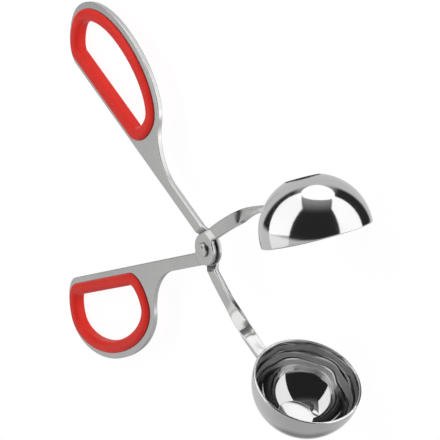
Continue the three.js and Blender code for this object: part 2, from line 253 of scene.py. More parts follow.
def makeMarks():
    # Fine drawn-out marks and a slow cloud; the polish takes the cloud alone
    group = bpy.data.node_groups.new("fineMarks", "ShaderNodeTree")
    face = group.interface
    for name in ("Along", "Across", "Turn", "Cloud"):
        face.new_socket(name, in_out="INPUT", socket_type="NodeSocketFloat")
    for name in ("Marks", "Cloud"):
        face.new_socket(name, in_out="OUTPUT", socket_type="NodeSocketFloat")
    given = addNode(group, "NodeGroupInput").outputs
    place = addNode(group, "ShaderNodeTexCoord").outputs["Object"]
    spin = addNode(group, "ShaderNodeCombineXYZ", {"Z": given["Turn"]}).outputs[0]
    turned = addNode(group, "ShaderNodeMapping", {"Vector": place, "Rotation": spin}).outputs[0]
    scales = {"X": given["Along"], "Y": given["Across"], "Z": given["Across"]}
    stretch = addNode(group, "ShaderNodeCombineXYZ", scales)
    drawn = addNode(group, "ShaderNodeVectorMath", {0: turned, 1: stretch.outputs[0]}, operation="MULTIPLY")
    marks = noise(group, drawn.outputs[0], 1.0, detail=2.0)
    cloud = noise(group, place, given["Cloud"], detail=3.0)
    addNode(group, "NodeGroupOutput", {"Marks": marks, "Cloud": cloud})
    return group


def makeEdgeHighlight():
    # Painted highlight: lighter along the rounded edges, a little unevenly
    group = bpy.data.node_groups.new("edgeHighlight", "ShaderNodeTree")
    face = group.interface
    for name in ("Unevenness", "Patch"):
        face.new_socket(name, in_out="INPUT", socket_type="NodeSocketFloat")
    face.new_socket("Highlight", in_out="OUTPUT", socket_type="NodeSocketFloat")
    given = addNode(group, "NodeGroupInput").outputs
    edge = readLayer(group, "edgeHighlight")
    place = addNode(group, "ShaderNodeTexCoord").outputs["Object"]
    loss = calc(group, "MULTIPLY", noise(group, place, given["Patch"], detail=2.0), given["Unevenness"])
    highlight = calc(group, "MULTIPLY", edge, calc(group, "SUBTRACT", 1.0, loss))
    addNode(group, "NodeGroupOutput", {"Highlight": highlight})
    return group


marksGroup = makeMarks()
edgeGroup = makeEdgeHighlight()


def newMaterial(name):
    material = bpy.data.materials.new(name)
    material.use_nodes = True
    tree = material.node_tree
    return material, tree, tree.nodes["Principled BSDF"]


def placeGroup(tree, group, inputs):
    node = addNode(tree, "ShaderNodeGroup", node_tree=group)
    for name, value in inputs.items():
        node.inputs[name].default_value = value
    return node.outputs


def fineMarks(tree, look, turn=0.0):
    return placeGroup(tree, marksGroup, {
        "Along": look["along"], "Across": look["across"], "Turn": turn, "Cloud": look["cloud"],
    })


def mapTo(tree, value, low, high, fromLow=0.3, fromHigh=0.7):
    # Left out, the range to map from is the one that noise mostly keeps to
    inputs = {"Value": value, "From Min": fromLow, "From Max": fromHigh, "To Min": low, "To Max": high}
    return addNode(tree, "ShaderNodeMapRange", inputs).outputs[0]


def blendColour(tree, share, first, second):
    mix = addNode(tree, "ShaderNodeMix", data_type="RGBA")
    colours = [socket for socket in mix.inputs if socket.type == "RGBA"]
    for socket, colour in zip(colours, (first, second)):
        if isinstance(colour, bpy.types.NodeSocket):
            tree.links.new(colour, socket)
        else:
            socket.default_value = (*colour, 1)
    tree.links.new(share, mix.inputs["Factor"])
    return [socket for socket in mix.outputs if socket.type == "RGBA"][0]


def addBump(tree, shader, height, strength, depth):
    inputs = {"Height": height, "Strength": strength, "Distance": depth}
    tree.links.new(addNode(tree, "ShaderNodeBump", inputs).outputs[0], shader.inputs["Normal"])


satin = {
    "dull": (0.525, 0.525, 0.52), "bright": (0.68, 0.68, 0.675), "cloudShare": 0.35,
    # The rounded edges take a painted highlight, uneven in patches, and more roughness
    "roughLow": 0.255, "roughHigh": 0.285, "edgeRough": 0.08, "edgeUneven": 0.5, "edgePatch": 160.0,
    "strapShine": 0.42, "waveHeight": 320.0, "waveScale": 130.0,  # waves left in the strap by its twisting
    "hollow": (0.10, 0.10, 0.10), "hollowShare": 0.95,  # painted shade in the seam between the ears, on the joggles and in the dimple
    "along": 50.0, "across": 420.0, "cloud": 45.0, "bump": 0.1, "bumpDepth": 0.00002,
}


def satinSteel(name, turn):
    material, tree, shader = newMaterial(name)
    marks = fineMarks(tree, satin, turn)
    wear = {"Unevenness": satin["edgeUneven"], "Patch": satin["edgePatch"]}
    highlight = placeGroup(tree, edgeGroup, wear)["Highlight"]
    # Painted highlight: the tone is raised toward bright along the rounded edges
    tone = calc(tree, "MAXIMUM", mapTo(tree, marks["Cloud"], 0.0, satin["cloudShare"]), highlight)
    colour = blendColour(tree, tone, satin["dull"], satin["bright"])
    # Painted shade: dark in the seam between the ears, on the joggles and in the dimple
    share = calc(tree, "MULTIPLY", readLayer(tree, "hollow"), satin["hollowShare"])
    tree.links.new(blendColour(tree, share, colour, satin["hollow"]), shader.inputs["Base Color"])
    rough = mapTo(tree, marks["Marks"], satin["roughLow"], satin["roughHigh"])
    rough = calc(tree, "ADD", rough, calc(tree, "MULTIPLY", highlight, satin["edgeRough"]))
    strap = readLayer(tree, "strapWay")
    rough = calc(tree, "MULTIPLY", rough, mapTo(tree, strap, 1.0, 1 - satin["strapShine"], 0.0, 1.0))
    tree.links.new(rough, shader.inputs["Roughness"])
    shader.inputs["Metallic"].default_value = 1.0
    place = addNode(tree, "ShaderNodeTexCoord").outputs["Object"]
    waves = calc(tree, "MULTIPLY", noise(tree, place, satin["waveScale"]), satin["waveHeight"])
    height = calc(tree, "ADD", marks["Marks"], calc(tree, "MULTIPLY", strap, waves))
    addBump(tree, shader, height, satin["bump"], satin["bumpDepth"])
    return material


polish = {
    "dull": (0.42, 0.42, 0.42), "bright": (0.70, 0.70, 0.70), "cloud": 70.0, "cloudTone": (0.85, 1.0),
    "roughLow": 0.085, "roughHigh": 0.115, "bump": 0.8, "bumpDepth": 0.0002,
    # Inside, a clear floor and a wall in dull rings; each From is in millimetres from the pole
    "floorRough": -0.055, "wallRough": (-0.02, 0.36), "wallBands": (0.42, 0.49),
    "ringFrom": (20.5, 24.5), "ringScale": 0.42, "ringWander": 10.0, "wanderScale": 60.0,
    "floorDarker": 0.45, "edgeDarker": 0.7, "darkerFrom": (18.0, 20.5),  # darker over the floor, most at its edge
    "hollow": (0.05, 0.05, 0.05),  # painted shade in the corner round the pole
}


def mirrorSteel(name):
    material, tree, shader = newMaterial(name)
    cloud = placeGroup(tree, marksGroup, {"Cloud": polish["cloud"]})["Cloud"]
    inside = readLayer(tree, "insideWall")
    way = readLayer(tree, "ringWay")
    outward = mapTo(tree, way, 0.0, 1.0, *polish["ringFrom"])
    darker = mapTo(tree, way, polish["floorDarker"], polish["edgeDarker"], *polish["darkerFrom"])
    darker = mapTo(tree, outward, darker, 0.0, 0.0, 1.0)
    tone = mapTo(tree, cloud, *polish["cloudTone"])
    tone = calc(tree, "SUBTRACT", tone, calc(tree, "MULTIPLY", inside, darker))
    colour = blendColour(tree, tone, polish["dull"], polish["bright"])
    # Painted shade in the corner round the pole
    hollow = readLayer(tree, "hollow")
    tree.links.new(blendColour(tree, hollow, colour, polish["hollow"]), shader.inputs["Base Color"])
    rough = mapTo(tree, cloud, polish["roughHigh"], polish["roughLow"])
    # Slow rings left inside by the pressing, wandering a little
    place = addNode(tree, "ShaderNodeTexCoord").outputs["Object"]
    wander = calc(tree, "MULTIPLY", noise(tree, place, polish["wanderScale"]), polish["ringWander"])
    inputs = {"W": calc(tree, "ADD", way, wander), "Scale": polish["ringScale"], "Detail": 1.0}
    rings = addNode(tree, "ShaderNodeTexNoise", inputs, noise_dimensions="1D").outputs["Fac"]
    bands = mapTo(tree, rings, *polish["wallRough"], *polish["wallBands"])
    change = mapTo(tree, outward, polish["floorRough"], bands, 0.0, 1.0)
    rough = calc(tree, "ADD", rough, calc(tree, "MULTIPLY", inside, change))
    tree.links.new(rough, shader.inputs["Roughness"])
    shader.inputs["Metallic"].default_value = 1.0
    height = calc(tree, "MULTIPLY", rings, calc(tree, "MULTIPLY", inside, outward))
    addBump(tree, shader, height, polish["bump"], polish["bumpDepth"])
    return material


redSoft = {
    "deep": (0.75, 0.019, 0.012), "fresh": (0.84, 0.030, 0.017),
    "footShadow": (0.20, 0.006, 0.006),  # painted shade where the lip meets the steel
    "roughLow": 0.40, "roughHigh": 0.52, "gloss": 0.22,
    "along": 2400.0, "across": 2400.0, "cloud": 60.0, "bump": 0.12, "bumpDepth": 0.00006,
}


def softRed(name):
    material, tree, shader = newMaterial(name)
    marks = fineMarks(tree, redSoft)
    tone = mapTo(tree, marks["Cloud"], 0.0, 1.0)
    colour = blendColour(tree, tone, redSoft["deep"], redSoft["fresh"])
    # Painted shade at the foot of the lip
    footShadow = readLayer(tree, "lipFootShade")
    tree.links.new(blendColour(tree, footShadow, colour, redSoft["footShadow"]), shader.inputs["Base Color"])
    rough = mapTo(tree, marks["Marks"], redSoft["roughLow"], redSoft["roughHigh"])
    tree.links.new(rough, shader.inputs["Roughness"])
    shader.inputs["Specular IOR Level"].default_value = redSoft["gloss"]
    addBump(tree, shader, marks["Marks"], redSoft["bump"], redSoft["bumpDepth"])
    return material


frontSteel = satinSteel("frontSatinSteel", -halfOpen)
rearSteel = satinSteel("rearSatinSteel", halfOpen)
rivetSteel = satinSteel("rivetSteel", 0.0)
bowlSteel = mirrorSteel("bowlMirrorSteel")
gripRed = softRed("gripRed")
print("stage: finishes made")


# Arms, in millimetres: one stamping, used twice. The strip lies in XY about the pivot, with the bowl
# toward +X and the handle toward -X

armSizes = {
    "thickness": 2.3, "edgeRound": 0.35, "shoulderRound": 0.6, "roundFade": (0.5, 5.0), "edgeSteps": 5,
    "splay": 2.6, "reach": 134.17, "innerEdge": 0.5, "shankWidth": 5.8, "neckRound": 23.5,
    "loopLength": 80.0, "loopWidth": 41.57, "bandWidth": 6.0, "bellyFromNear": 42.2,
    "nearCorner": (14.6, 19.2), "farCorner": (12.6, 18.5), "quarterSteps": 36,
    "earRadius": 6.9, "joggleMargin": 0.4, "joggleLength": 2.6, "earGap": 0.3, "holeRadius": 2.3,
    "cornerEase": 1.3,  # hollow left where the ear meets the strip
    "pastJoggle": 1.0, "innerSteps": 14, "outerSteps": 22,  # close points on the shank, to past the joggle
    "drillSteps": 48, "neckSamples": 400, "halvings": 40, "mitreLimit": 0.5, "mergeWithin": 0.004,
    "gridMargin": 0.2, "gridRings": 12, "gridTurns": 110, "gridClear": 0.3, "gridMerge": 1e-6,
}
strapSizes = {
    "width": 5.7, "rootHeight": 4.0, "height": 13.4, "elbow": 27.4,
    "twist": 86.0, "twistStart": 21.0, "twistEnd": 47.0, "flatEnd": 20.0,
    "bendRadius": 7.0, "endLatitude": 54.0, "tabThickness": 1.7, "tipWidth": 2.0,
    "runSteps": 60, "bendSteps": 16, "tabSteps": 22,
    "shineFrom": (16.0, 32.0),  # polished with the bowl
}
bowlSizes = {
    "distance": 77.6, "radius": 21.95, "wall": 1.0, "skirt": 1.9, "poleFlat": 14.5, "rimGap": 0.3,
    "poleRound": 0.9, "poleDish": 0.28,  # the flat is dished on its inside
    "poleStep": 0.45, "stepWall": 0.08, "stepSteps": 6,  # and pressed in on its outside
    "stepShade": (1.0, 0.35),  # painted shade, inward from the edge of the pole
    "domeSteps": 44, "rimSteps": 10, "roundSteps": 8, "dishSteps": 6, "turnSteps": 144,
}
joggleStart = armSizes["earRadius"] + armSizes["joggleMargin"]
joggleEnd = joggleStart + armSizes["joggleLength"]
earLift = (armSizes["thickness"] + armSizes["earGap"]) / 2
loopNear = armSizes["reach"] - armSizes["loopLength"]
belly = loopNear + armSizes["bellyFromNear"]


def loopQuarters():
    farLong, farDeep = armSizes["farCorner"]
    nearLong, nearDeep = armSizes["nearCorner"]
    low = armSizes["innerEdge"]
    high = low + armSizes["loopWidth"]
    return [
        (Vector((armSizes["reach"] - farLong, low + farDeep)), Vector((farLong, farDeep))),
        (Vector((belly, low + farDeep)), Vector((armSizes["reach"] - belly, high - low - farDeep))),
        (Vector((belly, low + nearDeep)), Vector((armSizes["bellyFromNear"], high - low - nearDeep))),
        (Vector((loopNear + nearLong, low + nearDeep)), Vector((nearLong, nearDeep))),
    ]


def loopPoint(quarter, share, inward):
    centre, size = loopQuarters()[quarter]
    angle = (quarter - 1 + share) * math.pi / 2
    turn = Vector((math.cos(angle), math.sin(angle)))
    square = Vector((turn.x / size.x, turn.y / size.y)).normalized()
    return centre + turn * size - square * inward


def loopOutline(inward):
    steps = armSizes["quarterSteps"]
    points = [loopPoint(quarter, step / steps, inward) for quarter in range(4) for step in range(steps)]
    return points + [loopPoint(3, 1.0, inward)]


def neckFillet():
    # Hollow curve tangent to the shank's outer edge and to the loop
    radius = armSizes["neckRound"]
    samples = spread(0, 1, armSizes["neckSamples"])
    edge = [loopPoint(2, share, 0.0) for share in samples]
    centre = Vector((0, armSizes["innerEdge"] + armSizes["shankWidth"] + radius))
    low, high = loopNear - 2 * radius, loopNear
    for _ in range(armSizes["halvings"]):
        centre.x = (low + high) / 2
        gaps = [(point - centre).length for point in edge]
        if min(gaps) > radius:
            low = centre.x
        else:
            high = centre.x
    return centre, samples[gaps.index(min(gaps))]


def liftAt(distance):
    return earLift * (1 - smoothStep(distance, joggleStart, joggleEnd))


def joggle(point):
    return Vector((point[0], point[1], point[2] + liftAt(math.hypot(point[0], point[1]))))


def strapEnds():
    # Radius of the tab's wrap, where the run ends and bends up, and the latitude where it meets the dome
    wrap = bowlSizes["radius"] + armSizes["earGap"] + armSizes["thickness"] / 2
    bendHeight = strapSizes["height"] + strapSizes["bendRadius"]
    rise = bendHeight - bowlSizes["skirt"]
    bendAt = bowlSizes["distance"] - math.sqrt((wrap + strapSizes["bendRadius"]) ** 2 - rise ** 2)
    latitude = math.atan2(rise, bowlSizes["distance"] - bendAt)
    return wrap, bendAt, bendHeight, latitude


def strapRun(x):
    # Centre line and direction at a distance from the pivot, on one curve drawn toward the elbow
    _, bendAt, _, _ = strapEnds()
    elbow, low, high = strapSizes["elbow"], strapSizes["rootHeight"], strapSizes["height"]
    bend = bendAt - 2 * elbow
    share = (math.sqrt(elbow ** 2 + bend * x) - elbow) / bend
    height = low * (1 - share) ** 2 + high * (2 * share * (1 - share) + share ** 2)
    tangent = Vector((elbow + bend * share, (high - low) * (1 - share))).normalized()
    return Vector((x, height)), tangent


def strapEdge(x, sign):
    centre, tangent = strapRun(x)
    return centre + Vector((-tangent.y, tangent.x)) * sign * strapSizes["width"] / 2


def leavesEar(sign):
    low, high = 0.0, 2 * armSizes["earRadius"]
    for _ in range(armSizes["halvings"]):
        middle = (low + high) / 2
        if strapEdge(middle, sign).length < armSizes["earRadius"]:
            low = middle
        else:
            high = middle
    return high


def earArc(start, end, count):
    low = math.atan2(start.y, start.x)
    high = math.atan2(end.y, end.x)
    if high < low:
        high += 2 * math.pi
    radius = armSizes["earRadius"]
    return [Vector((radius * math.cos(a), radius * math.sin(a))) for a in spread(low, high, count)[1:-1]]


def easeCorner(chain, corner, reach, steps=7):
    # Swaps the points near a corner for a curve drawn toward it
    near = [i for i, point in enumerate(chain) if (point - corner).length < reach]
    before, after = chain[near[0] - 1], chain[near[-1] + 1]
    curve = []
    for step in range(1, steps):
        share = step / steps
        curve.append(before * (1 - share) ** 2 + corner * 2 * share * (1 - share) + after * share ** 2)
    return chain[:near[0]] + curve + chain[near[-1] + 1:]


def stampedOutline():
    # Counterclockwise from the strap's left edge round the ear and the handle to its right edge
    s = armSizes
    turn = Matrix.Rotation(math.pi + math.radians(s["splay"]), 2)
    inner, outer = s["innerEdge"], s["innerEdge"] + s["shankWidth"]
    flatEnd, steps = strapSizes["flatEnd"], s["quarterSteps"]
    leftStart, rightStart = leavesEar(1), leavesEar(-1)
    chain = [strapEdge(x, 1) for x in reversed(spread(leftStart, flatEnd, 2 * steps))]
    innerStart = math.sqrt(s["earRadius"] ** 2 - inner ** 2)
    outerStart = math.sqrt(s["earRadius"] ** 2 - outer ** 2)
    innerCorner, outerCorner = turn @ Vector((innerStart, inner)), turn @ Vector((outerStart, outer))
    chain += earArc(chain[-1], innerCorner, steps)
    shankStart = joggleEnd + s["pastJoggle"]
    handle = [Vector((x, inner)) for x in spread(innerStart, shankStart, s["innerSteps"])]
    for quarter in (0, 1):
        handle += [loopPoint(quarter, step / steps, 0.0) for step in range(steps)]
    centre, share = neckFillet()
    handle += [loopPoint(2, share * step / steps, 0.0) for step in range(steps)]
    meet = loopPoint(2, share, 0.0) - centre
    meetAngle = math.atan2(meet.y, meet.x) % (2 * math.pi)
    for angle in spread(meetAngle, 1.5 * math.pi, steps):
        handle.append(centre + Vector((math.cos(angle), math.sin(angle))) * s["neckRound"])
    handle += [Vector((x, outer)) for x in spread(shankStart, outerStart, s["outerSteps"])]
    chain += [turn @ point for point in handle]
    rightEdge = [strapEdge(x, -1) for x in spread(rightStart, flatEnd, 2 * steps)]
    chain += earArc(outerCorner, rightEdge[0], steps) + rightEdge
    for corner in (innerCorner, rightEdge[0]):
        chain = easeCorner(chain, corner, s["cornerEase"])
    hole = [turn @ point for point in reversed(loopOutline(s["bandWidth"]))]
    angles = spread(0, 2 * math.pi, s["drillSteps"])[:-1]
    drill = [Vector((math.cos(a), -math.sin(a))) * s["holeRadius"] for a in angles]
    return chain, hole, drill


def inwardNormals(chain, closed):
    # Square to the outline, lengthened in corners, on the side of the metal
    count = len(chain)
    normals = []
    for i, point in enumerate(chain):
        back = (point - chain[i - 1]).normalized() if closed or i > 0 else None
        ahead = (chain[(i + 1) % count] - point).normalized() if closed or i < count - 1 else None
        back, ahead = back or ahead, ahead or back
        along = (back + ahead).normalized()
        normals.append(Vector((-along.y, along.x)) / max(along.dot(ahead), armSizes["mitreLimit"]))
    return normals


def insideLoop(point, loop):
    inside = False
    for a, b in zip(loop, loop[1:] + loop[:1]):
        if (a.y > point.y) != (b.y > point.y):
            if point.x < a.x + (point.y - a.y) * (b.x - a.x) / (b.y - a.y):
                inside = not inside
    return inside


def roundAt(point):
    # The ear and its shoulders are rounded more, so that the arms can open
    start, end = armSizes["roundFade"]
    near = 1 - smoothStep(point.length, joggleEnd + start, joggleEnd + end)
    return armSizes["edgeRound"] + (armSizes["shoulderRound"] - armSizes["edgeRound"]) * near


def edgeProfile(thickness, radius):
    # Inset and height over the rounded edge, from the bottom face to the top face
    upper = []
    for angle in spread(0, math.pi / 2, armSizes["edgeSteps"]):
        upper.append((radius * (1 - math.cos(angle)), thickness / 2 - radius * (1 - math.sin(angle))))
    return [(inset, -height) for inset, height in reversed(upper)] + upper


def bridge(bm, rings, closed):
    count = len(rings[0])
    for low, high in zip(rings, rings[1:]):
        for i in range(count if closed else count - 1):
            j = (i + 1) % count
            bm.faces.new((low[i], low[j], high[j], high[i]))


def addStamping(bm, highlight):
    s = armSizes
    outline, hole, drill = stampedOutline()
    faceLoops = []
    rims = []
    for chain, closed in ((outline, False), (hole, True), (drill, True)):
        normals = inwardNormals(chain, closed)
        if not closed:
            across = (chain[-1] - chain[0]).normalized()
            normals[0], normals[-1] = across, -across
        profiles = [edgeProfile(s["thickness"], roundAt(point)) for point in chain]
        rings = []
        for level in zip(*profiles):
            ring = []
            for point, normal, (inset, height) in zip(chain, normals, level):
                ring.append(bm.verts.new(joggle((*(point + normal * inset), height))))
            rings.append(ring)
        # The rounded edge's rings carry the painted edge highlight
        for ring in rings[1:-1]:
            for vert in ring:
                vert[highlight] = 1.0
        bridge(bm, rings, closed)
        faceLoops.append([p + n * profile[0][0] for p, n, profile in zip(chain, normals, profiles)])
        rims.append((rings[0], rings[-1]))
    flatPoints, flatEdges, bottom, top = [], [], [], []
    for loop, (low, high) in zip(faceLoops, rims):
        start, count = len(flatPoints), len(loop)
        flatEdges += [(start + i, start + (i + 1) % count) for i in range(count)]
        flatPoints += loop
        bottom += low
        top += high
    half = s["thickness"] / 2
    boundary = list(flatPoints)
    # More points in the joggle, so that its step comes out round
    for radius in spread(joggleStart - s["gridMargin"], joggleEnd + s["gridMargin"], s["gridRings"]):
        for angle in spread(0, 2 * math.pi, s["gridTurns"])[:-1]:
            point = Vector((radius * math.cos(angle), radius * math.sin(angle)))
            if not insideLoop(point, faceLoops[0]):
                continue
            if min((point - other).length for other in boundary) > s["gridClear"]:
                flatPoints.append(point)
                bottom.append(bm.verts.new(joggle((*point, -half))))
                top.append(bm.verts.new(joggle((*point, half))))
    _, _, faces, sources, _, _ = delaunay_2d_cdt(flatPoints, flatEdges, [], 1, s["gridMerge"])
    for face in faces:
        ids = [sources[i][0] for i in face]
        middle = (flatPoints[ids[0]] + flatPoints[ids[1]] + flatPoints[ids[2]]) / 3
        if any(insideLoop(middle, loop) for loop in faceLoops[1:]) or not insideLoop(middle, faceLoops[0]):
            continue
        bm.faces.new([top[i] for i in ids])
        bm.faces.new([bottom[i] for i in reversed(ids)])


def strapStations():
    # Places and directions along the strap, and on the tab the share passed and the length left
    wrap, bendAt, bendHeight, latitude = strapEnds()
    bendRadius = strapSizes["bendRadius"]
    stations = []
    for x in spread(strapSizes["flatEnd"], bendAt, strapSizes["runSteps"]):
        stations.append((*strapRun(x), None))
    upright = math.pi / 2 - latitude
    for turn in spread(0, upright, strapSizes["bendSteps"])[1:]:
        at = Vector((bendAt + bendRadius * math.sin(turn), bendHeight - bendRadius * math.cos(turn)))
        stations.append((at, Vector((math.cos(turn), math.sin(turn))), None))
    top = math.radians(strapSizes["endLatitude"])
    for step in range(1, strapSizes["tabSteps"] + 1):
        share = math.sin(step / strapSizes["tabSteps"] * math.pi / 2)
        angle = latitude + (top - latitude) * share
        out, rise = wrap * math.cos(angle), wrap * math.sin(angle)
        at = Vector((bowlSizes["distance"] - out, bowlSizes["skirt"] + rise))
        stations.append((at, Vector((math.sin(angle), math.cos(angle))), (share, (top - angle) * wrap)))
    return stations


def addStrap(bm, highlight):
    up = Vector((0, 0, 1))
    thickness, width = armSizes["thickness"], strapSizes["width"]
    rings = []
    for at, tangent, tab in strapStations():
        twisted = smoothStep(at.x, strapSizes["twistStart"], strapSizes["twistEnd"])
        turn = math.radians(strapSizes["twist"]) * twisted
        side = Vector((-tangent.y, tangent.x, 0))
        across = side * math.cos(turn) - up * math.sin(turn)
        through = up * math.cos(turn) + side * math.sin(turn)
        deep, wide = thickness, width
        if tab:
            share, left = tab
            intoTip = 1 - min(left, width / 2) / (width / 2)
            wide = max(width * math.sqrt(1 - intoTip ** 2), strapSizes["tipWidth"])
            deep = thickness + (strapSizes["tabThickness"] - thickness) * smoothStep(share, 0, 1)
        centre = Vector((at.x, at.y, 0)) + through * (deep - thickness) / 2
        ring = []
        edge = edgeProfile(deep, armSizes["edgeRound"])
        # The strap's rounded edges carry the painted edge highlight
        for sign, profile in ((1, edge), (-1, edge[::-1])):
            for step, (inset, height) in enumerate(profile):
                vert = bm.verts.new(centre + across * sign * (wide / 2 - inset) + through * height)
                vert[highlight] = 0.0 if step in (0, len(profile) - 1) else 1.0
                ring.append(vert)
        rings.append(ring)
    bridge(bm, rings, True)
    bm.faces.new(rings[-1])


def finishMesh(source, smoothAngle=35.0):
    # Smooth with true flats, then leave a plain mesh
    source.data.set_sharp_from_angle(angle=math.radians(smoothAngle))
    weighted = source.modifiers.new("trueFlats", "WEIGHTED_NORMAL")
    weighted.keep_sharp = True
    depsgraph = bpy.context.evaluated_depsgraph_get()
    mesh = bpy.data.meshes.new_from_object(source.evaluated_get(depsgraph))
    source.modifiers.clear()
    source.data = mesh


def addPiece(name, mesh, material, place):
    mesh.transform(place)
    mesh.materials.clear()
    mesh.materials.append(material)
    piece = bpy.data.objects.new(name, mesh)
    scene.collection.objects.link(piece)
    return piece


# Painted shade on the arms, in the seam between the ears and on the joggle's step
hollowSizes = {
    "below": (-0.2, 0.5),  # under the middle of the strip
    "stepBefore": 0.5, "stepAfter": 0.3, "stepShort": 0.9,  # about the joggle's start, and short of its end
    "seamFade": 0.4,
}


def inPaintedShade(point):
    # Painted shade, on the side that meets the other ear: the ear's lower edge, and the step of the joggle
    h = hollowSizes
    distance = math.hypot(point.x, point.y)
    below = smoothStep(liftAt(distance) - point.z, *h["below"])
    step = smoothStep(distance, joggleStart - h["stepBefore"], joggleStart + h["stepAfter"])
    step *= 1 - smoothStep(distance, joggleStart, joggleEnd - h["stepShort"])
    seam = 1 - smoothStep(distance, armSizes["earRadius"], armSizes["earRadius"] + h["seamFade"])
    return below * max(step, seam)


def armMesh():
    bm = bmesh.new()
    highlight = bm.verts.layers.float.new("edgeHighlight")
    addStamping(bm, highlight)
    addStrap(bm, highlight)
    bmesh.ops.remove_doubles(bm, verts=bm.verts, dist=armSizes["mergeWithin"])
    bmesh.ops.recalc_face_normals(bm, faces=bm.faces)
    for face in bm.faces:
        face.smooth = True
    # Painted shade in the seam between the ears and on the joggle's step
    hollow = bm.verts.layers.float.new("hollow")
    strapWay = bm.verts.layers.float.new("strapWay")
    for vert in bm.verts:
        vert[hollow] = inPaintedShade(vert.co)
        vert[strapWay] = smoothStep(vert.co.x, *strapSizes["shineFrom"])
    mesh = bpy.data.meshes.new("arm")
    bm.to_mesh(mesh)
    bm.free()
    return mesh


armShape = armMesh()
frontArm = addPiece("frontArm", armShape.copy(), frontSteel, frontPlace)
rearArm = addPiece("rearArm", armShape.copy(), rearSteel, rearPlace)
for piece, body, node in ((frontArm, "front", "front_arm"), (rearArm, "rear", "rear_arm")):
    finishMesh(piece)
    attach(piece, body)
    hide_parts(node)
print("stage: arms made")


# Swept shapes: a section drawn along a track, which for the bowls and the rivet is a small circle

sweepSizes = {"coreRadius": 0.5, "mergeWithin": 0.0005}


def newTree(name, sockets):
    tree = bpy.data.node_groups.new(name, "GeometryNodeTree")
    tree.interface.new_socket("Geometry", in_out="OUTPUT", socket_type="NodeSocketGeometry")
    tree.interface.new_socket("Section", in_out="INPUT", socket_type="NodeSocketGeometry")
    ids = {}
    for socketName, kind in sockets.items():
        ids[socketName] = tree.interface.new_socket(socketName, in_out="INPUT", socket_type=kind).identifier
    return tree, addNode(tree, "NodeGroupInput").outputs, ids


def sweepSection(tree, given, track):
    upright = addNode(tree, "GeometryNodeSetCurveNormal", {"Curve": track}, mode="Z_UP")
    curves = {"Curve": upright.outputs[0], "Profile Curve": given["Section"]}
    swept = addNode(tree, "GeometryNodeCurveToMesh", curves).outputs[0]
    merging = {"Geometry": swept, "Distance": sweepSizes["mergeWithin"]}
    merged = addNode(tree, "GeometryNodeMergeByDistance", merging).outputs[0]
    smooth = addNode(tree, "GeometryNodeSetShadeSmooth", {"Geometry": merged}).outputs[0]
    real = addNode(tree, "GeometryNodeRealizeInstances", {"Geometry": smooth}).outputs[0]
    coating = {"Geometry": real, "Material": given["Material"]}
    coated = addNode(tree, "GeometryNodeSetMaterial", coating).outputs[0]
    addNode(tree, "NodeGroupOutput", {"Geometry": coated})


def turnedTree():
    tree, given, ids = newTree("turnedShape", {
        "Turn Steps": "NodeSocketInt", "Core Radius": "NodeSocketFloat", "Material": "NodeSocketMaterial",
    })
    core = addNode(tree, "GeometryNodeCurvePrimitiveCircle", {
        "Resolution": given["Turn Steps"], "Radius": given["Core Radius"],
    })
    sweepSection(tree, given, core.outputs[0])
    return tree, ids


def sectionCurve(name, points, closed):
    curve = bpy.data.curves.new(name, "CURVE")
    curve.dimensions = "3D"
    spline = curve.splines.new("POLY")
    spline.points.add(len(points) - 1)
    for slot, point in zip(spline.points, points):
        slot.co = (point[0], point[1], 0, 1)
    spline.use_cyclic_u = closed
    holder = bpy.data.objects.new(name, curve)
    scene.collection.objects.link(holder)
    return holder


def runTree(holder, tree, ids, values):
    modifier = holder.modifiers.new("make", "NODES")
    modifier.node_group = tree
    for name, value in values.items():
        modifier[ids[name]] = value
    depsgraph = bpy.context.evaluated_depsgraph_get()
    mesh = bpy.data.meshes.new_from_object(holder.evaluated_get(depsgraph))
    holder.modifiers.clear()
    bpy.data.objects.remove(holder)
    bm = bmesh.new()
    bm.from_mesh(mesh)
    bmesh.ops.remove_doubles(bm, verts=bm.verts, dist=sweepSizes["mergeWithin"])
    bmesh.ops.recalc_face_normals(bm, faces=bm.faces)
    bm.to_mesh(mesh)
    bm.free()
    return mesh


lathe, latheIds = turnedTree()


def turnedMesh(name, section, steps, material):
    # The section runs in radius and height; the sweep's second axis points down
    core = sweepSizes["coreRadius"]
    points = [(radius - core, -height) for radius, height in section]
    values = {"Turn Steps": steps, "Core Radius": core, "Material": material}
    return runTree(sectionCurve(name, points, False), lathe, latheIds, values)


def arcPoints(centre, radius, start, end, steps):
    points = []
    for angle in spread(start, end, steps):
        points.append((centre[0] + radius * math.cos(angle), centre[1] + radius * math.sin(angle)))
    return points


def domeSide(radius, poleHeight, rounding, dish, pressed):
    # From the skirt up the dome and round onto the pole, which is dished out or pressed in
    skirt = bowlSizes["skirt"]
    rise = poleHeight - skirt - rounding
    centre = math.sqrt((radius - rounding) ** 2 - rise ** 2)
    meet = math.atan2(rise, centre)
    side = arcPoints((0, skirt), radius, 0, meet, bowlSizes["domeSteps"])
    side += arcPoints((centre, skirt + rise), rounding, meet, math.pi / 2, bowlSizes["roundSteps"])[1:]
    wall = bowlSizes["stepWall"]
    ways = spread(0, wall, bowlSizes["stepSteps"])[1:] + spread(wall, centre, bowlSizes["dishSteps"])[1:]
    for way in ways:
        change = dish * (1 - (1 - way / centre) ** 2) - pressed * smoothStep(way, 0, wall)
        side.append((centre - way, poleHeight + change))
    return side


def bowlSection():
    b = bowlSizes
    radius, wall = b["radius"], b["wall"]
    pole = b["poleFlat"] / 2
    outerPole = b["skirt"] + math.sqrt(radius ** 2 - pole ** 2)
    innerPole = b["skirt"] + math.sqrt((radius - wall) ** 2 - pole ** 2)
    rimHeight = b["rimGap"] / 2 + wall / 2
    inside = domeSide(radius - wall, innerPole, b["poleRound"], b["poleDish"], 0.0)
    rim = arcPoints((radius - wall / 2, rimHeight), wall / 2, -math.pi, 0, b["rimSteps"])
    outside = domeSide(radius, outerPole, b["poleRound"], 0.0, b["poleStep"])
    return inside[::-1] + rim + outside


